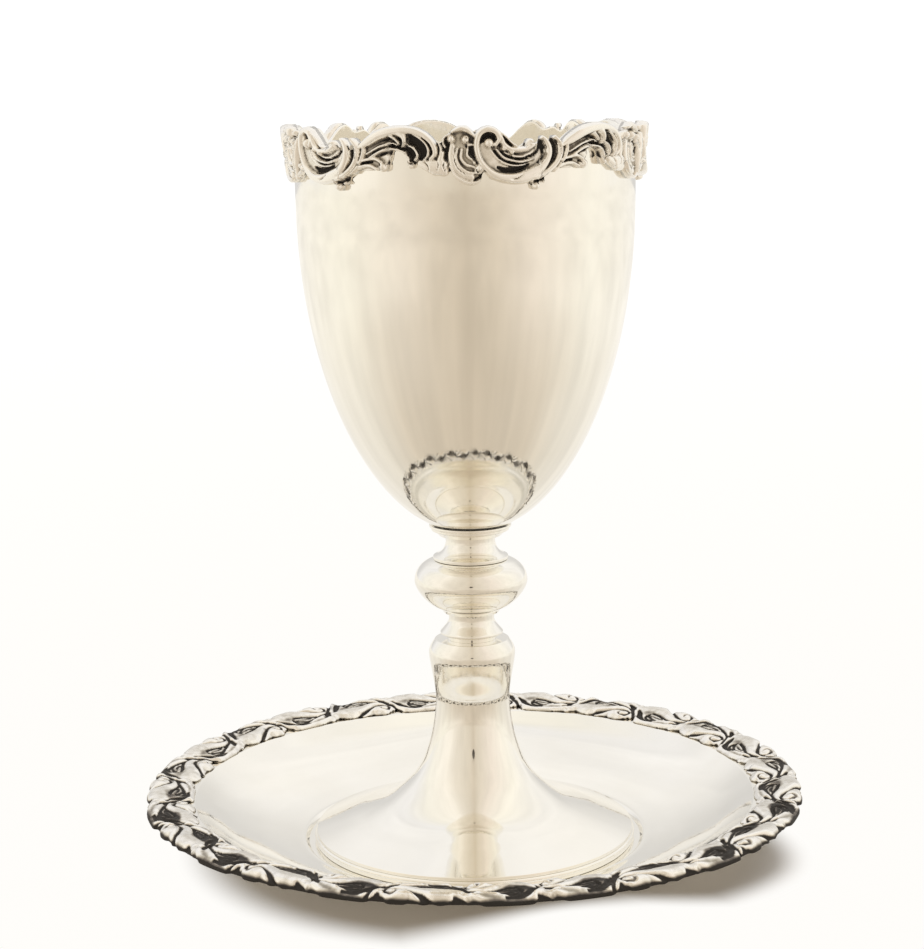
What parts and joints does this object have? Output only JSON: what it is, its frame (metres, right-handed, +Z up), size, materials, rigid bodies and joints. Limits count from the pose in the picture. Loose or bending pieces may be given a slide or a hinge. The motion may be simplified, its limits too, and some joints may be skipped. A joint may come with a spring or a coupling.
{
  "type": "ciborium vessel",
  "caption": "Footed silver goblet with a cast scroll and leaf rim, knopped stem and trumpet foot, lifted from the well of its matching bordered saucer plate.",
  "frame": {"origin": "centre of the plate's underside, on the plane it stands on", "axes": "+Z up along the goblet's axis; the front of the goblet faces -Y and its right-hand side +X"},
  "size_m": [0.1496, 0.1495, 0.1638],
  "materials": {
    "polished_silver": "polished sterling silver with fine wiping marks",
    "oxidised_cast_silver": "cast silver, polished on the high points and blackened in the recesses",
    "nickel_silver": "turned nickel silver, unpolished",
    "brass": "turned brass, slightly dulled"
  },
  "bodies": {
    "saucer": {"plate": "polished_silver", "plate_border": "oxidised_cast_silver"},
    "goblet": {"bowl": "polished_silver", "rim_border": "oxidised_cast_silver", "collar": "polished_silver", "upper_neck": "polished_silver", "knop_upper": "polished_silver", "knop_lower": "polished_silver", "lower_bead": "polished_silver", "lower_neck": "polished_silver", "foot": "polished_silver", "foot_rim_wire": "polished_silver", "tie_rod": "nickel_silver"},
    "washer": {"clamp_washer": "brass"},
    "nut": {"tie_nut": "brass"}
  },
  "joints": [
    {"name": "goblet_lift", "type": "slide", "parent": "saucer", "child": "goblet", "axis": [0, 0, 1], "range_m": [0, 0.06]},
    {"name": "nut_travel", "type": "slide", "parent": "goblet", "child": "washer", "axis": [0, 0, -1], "range_m": [0, 0.0064]},
    {"name": "nut_turn", "type": "hinge", "parent": "washer", "child": "nut", "pos_m": [0, 0, 0.0432], "axis": [0, 0, -1], "range_deg": [0, 2882]}
  ],
  "couplings": [
    {"joint": "nut_turn", "follows": "nut_travel", "rad_per_m": 7854}
  ]
}
